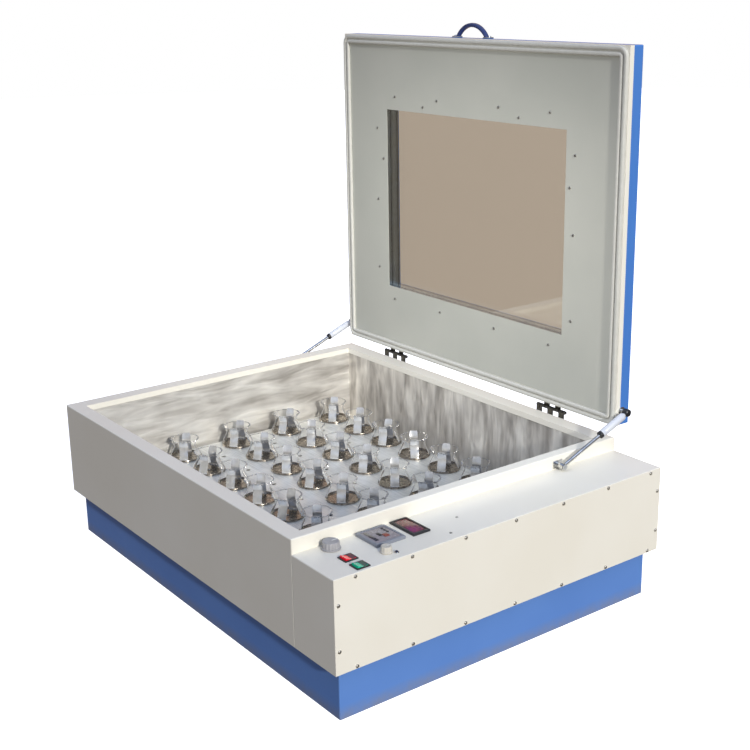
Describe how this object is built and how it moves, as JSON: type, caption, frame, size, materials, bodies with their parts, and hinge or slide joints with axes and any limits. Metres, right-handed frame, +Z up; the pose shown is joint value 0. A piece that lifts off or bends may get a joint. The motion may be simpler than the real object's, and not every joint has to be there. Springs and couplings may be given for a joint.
{
  "type": "shaking water bath",
  "caption": "Large floor-standing shaking water bath: stainless tank with a shaken platform of spring flask clamps, hinged lid with a window on gas struts, and a side control box.",
  "frame": {"origin": "centre of the casing's outline (tank casing and control box) on the floor, on the plinth's underside", "axes": "+X to the side with the control box, -Y to the front where the lid's handle closes, +Z up"},
  "size_m": [1.2204, 0.9433, 1.27],
  "materials": {
    "cream_paint": "smooth powder coat",
    "blue_paint": "smooth powder coat",
    "stainless": "satin",
    "spring_steel": "polished",
    "lining_paint": "satin",
    "structural_steel": "primer",
    "zinc": "zinc plated",
    "silicone": "matt",
    "black_rubber": "matt",
    "foam": "matt foam",
    "glass": "clear float glass",
    "black_plastic": "moulded",
    "grey_plastic": "moulded",
    "red_plastic": "moulded",
    "green_plastic": "moulded",
    "red_lens": "tinted lens",
    "white_plastic": "low-friction polymer",
    "brass": "machined",
    "cast_aluminium": "machined",
    "board": "lacquered"
  },
  "bodies": {
    "base": {"plinth": "blue_paint", "chassis_frame": "structural_steel", "tank_case": "cream_paint", "tank_liner": "stainless", "tank_insulation": "foam", "control_box": "cream_paint", "side_cover": "cream_paint", "cover_screws": "zinc", "rocker_housings": "black_plastic", "rotary_controls": "black_plastic", "controller_housing": "grey_plastic", "controller_face": "grey_plastic", "display_bezel": "black_plastic", "display_lens": "red_lens", "control_board": "board", "cord_gland": "black_plastic", "heaters": "stainless", "temperature_probe": "stainless", "drain_valve": "brass", "drive_motor": "cast_aluminium", "drive_belt": "black_rubber", "spindle_housing": "stainless", "spindle_bearings": "zinc", "shaft_seal": "black_rubber", "guide_rods": "stainless", "rod_supports": "stainless", "case_hinge_leaves": "zinc", "hinge_pins": "zinc", "strut_brackets": "zinc"},
    "platform": {"platform_tray": "stainless", "platform_bearers": "stainless", "slide_bushes": "white_plastic", "clamp_dishes": "stainless", "clamp_fingers": "spring_steel", "clamp_springs": "spring_steel", "clamp_screws": "zinc"},
    "crank": {"crank_spindle": "stainless", "spindle_pulley": "cast_aluminium"},
    "motor_rotor": {"motor_pulley": "cast_aluminium"},
    "lid": {"lid_shell": "blue_paint", "lid_frame": "cream_paint", "lid_insulation": "foam", "lid_lining": "lining_paint", "lid_seal": "silicone", "window_reveal": "cream_paint", "inner_pane": "glass", "outer_pane": "glass", "lining_screws": "zinc", "lid_handle": "blue_paint", "lid_hinge_leaves": "zinc", "strut_studs": "zinc"},
    "left_strut_rod": {"left_strut_rod": "zinc"},
    "left_strut_cylinder": {"left_strut_cylinder": "zinc"},
    "right_strut_rod": {"right_strut_rod": "zinc"},
    "right_strut_cylinder": {"right_strut_cylinder": "zinc"},
    "timer_knob": {"timer_knob": "grey_plastic"},
    "speed_knob": {"speed_knob": "grey_plastic"},
    "red_rocker": {"red_rocker": "red_plastic"},
    "green_rocker": {"green_rocker": "green_plastic"},
    "drain_lever": {"drain_lever": "red_plastic"}
  },
  "joints": [
    {"name": "lid_hinge", "type": "hinge", "parent": "base", "child": "lid", "pos_m": [0, 0.455, 0.358], "axis": [1, 0, 0], "range_deg": [0, 90]},
    {"name": "platform_shake", "type": "slide", "parent": "base", "child": "platform", "axis": [0, 1, 0], "range_m": [-0.012, 0.012]},
    {"name": "crank_spin", "type": "hinge", "parent": "base", "child": "crank", "pos_m": [-0.0605, -0.003, 0.1], "axis": [0, 0, 1], "continuous": true},
    {"name": "motor_spin", "type": "hinge", "parent": "base", "child": "motor_rotor", "pos_m": [0.1495, -0.003, 0.02], "axis": [0, 0, 1], "continuous": true},
    {"name": "left_strut_swing", "type": "hinge", "parent": "base", "child": "left_strut_rod", "pos_m": [-0.6135, 0.263, 0.324], "axis": [1, 0, 0], "range_deg": [-4.5, 0]},
    {"name": "left_strut_slide", "type": "slide", "parent": "left_strut_rod", "child": "left_strut_cylinder", "axis": [0, 0.9278, 0.373], "range_m": [-0.07, 0]},
    {"name": "right_strut_swing", "type": "hinge", "parent": "base", "child": "right_strut_rod", "pos_m": [0.4725, 0.263, 0.324], "axis": [1, 0, 0], "range_deg": [-4.5, 0]},
    {"name": "right_strut_slide", "type": "slide", "parent": "right_strut_rod", "child": "right_strut_cylinder", "axis": [0, 0.9278, 0.373], "range_m": [-0.07, 0]},
    {"name": "timer_turn", "type": "hinge", "parent": "base", "child": "timer_knob", "pos_m": [0.4785, -0.374, 0.313], "axis": [0, 0, 1], "range_deg": [-300, 0]},
    {"name": "speed_turn", "type": "hinge", "parent": "base", "child": "speed_knob", "pos_m": [0.5595, -0.3, 0.313], "axis": [0, 0, 1], "range_deg": [-270, 0]},
    {"name": "red_rock", "type": "hinge", "parent": "base", "child": "red_rocker", "pos_m": [0.5355, -0.374, 0.3135], "axis": [1, 0, 0], "range_deg": [0, 14]},
    {"name": "green_rock", "type": "hinge", "parent": "base", "child": "green_rocker", "pos_m": [0.5755, -0.375, 0.3135], "axis": [1, 0, 0], "range_deg": [0, 14]},
    {"name": "drain_turn", "type": "hinge", "parent": "base", "child": "drain_lever", "pos_m": [-0.4755, 0.443, 0.075], "axis": [0, 0, 1], "range_deg": [0, 90]}
  ],
  "couplings": [
    {"joint": "motor_spin", "follows": "crank_spin", "ratio": 3.5},
    {"joint": "left_strut_swing", "follows": "lid_hinge", "ratio": -0.046471},
    {"joint": "left_strut_slide", "follows": "lid_hinge", "m_per_rad": -0.043732},
    {"joint": "right_strut_swing", "follows": "lid_hinge", "ratio": -0.046471},
    {"joint": "right_strut_slide", "follows": "lid_hinge", "m_per_rad": -0.043732}
  ]
}
